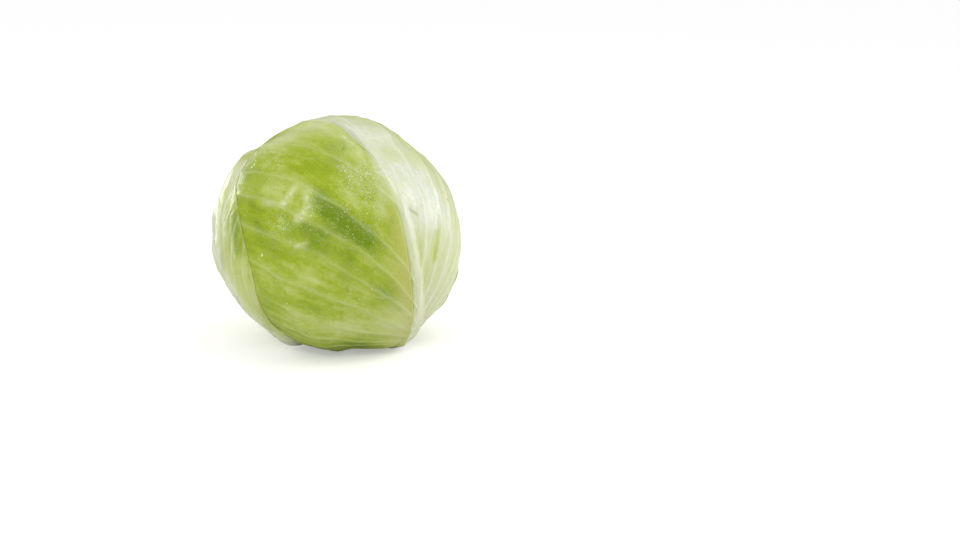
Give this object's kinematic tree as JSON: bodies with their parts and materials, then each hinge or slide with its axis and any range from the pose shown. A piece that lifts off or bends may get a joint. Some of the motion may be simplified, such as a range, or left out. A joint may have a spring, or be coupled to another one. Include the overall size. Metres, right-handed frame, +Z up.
{
  "type": "cabbage head",
  "caption": "Fresh white cabbage head: a dense round heart wrapped in overlapping ribbed leaves, resting on its cut stalk.",
  "frame": {"origin": "on the ground under the middle of the head's extents, at the level of the cut stalk", "axes": "+Z up from the stalk to the crown, -Y towards the side where the front wrapper leaf's midrib climbs a little to +X"},
  "size_m": [0.1734, 0.173, 0.1571],
  "materials": {
    "stalk": "moist cut stalk, pale cream, matte",
    "heart": "pale waxy inner leaf, satin",
    "inner_leaf": "light green waxy leaf, satin",
    "wrapper_leaf": "green waxy leaf with pale ribs, satin, wet"
  },
  "bodies": {
    "root": {"stalk": "stalk", "heart": "heart", "right_inner_leaf": "inner_leaf", "front_inner_leaf": "inner_leaf", "back_wrapper_leaf": "wrapper_leaf", "front_wrapper_leaf": "wrapper_leaf", "left_wrapper_leaf": "wrapper_leaf"}
  },
  "joints": []
}
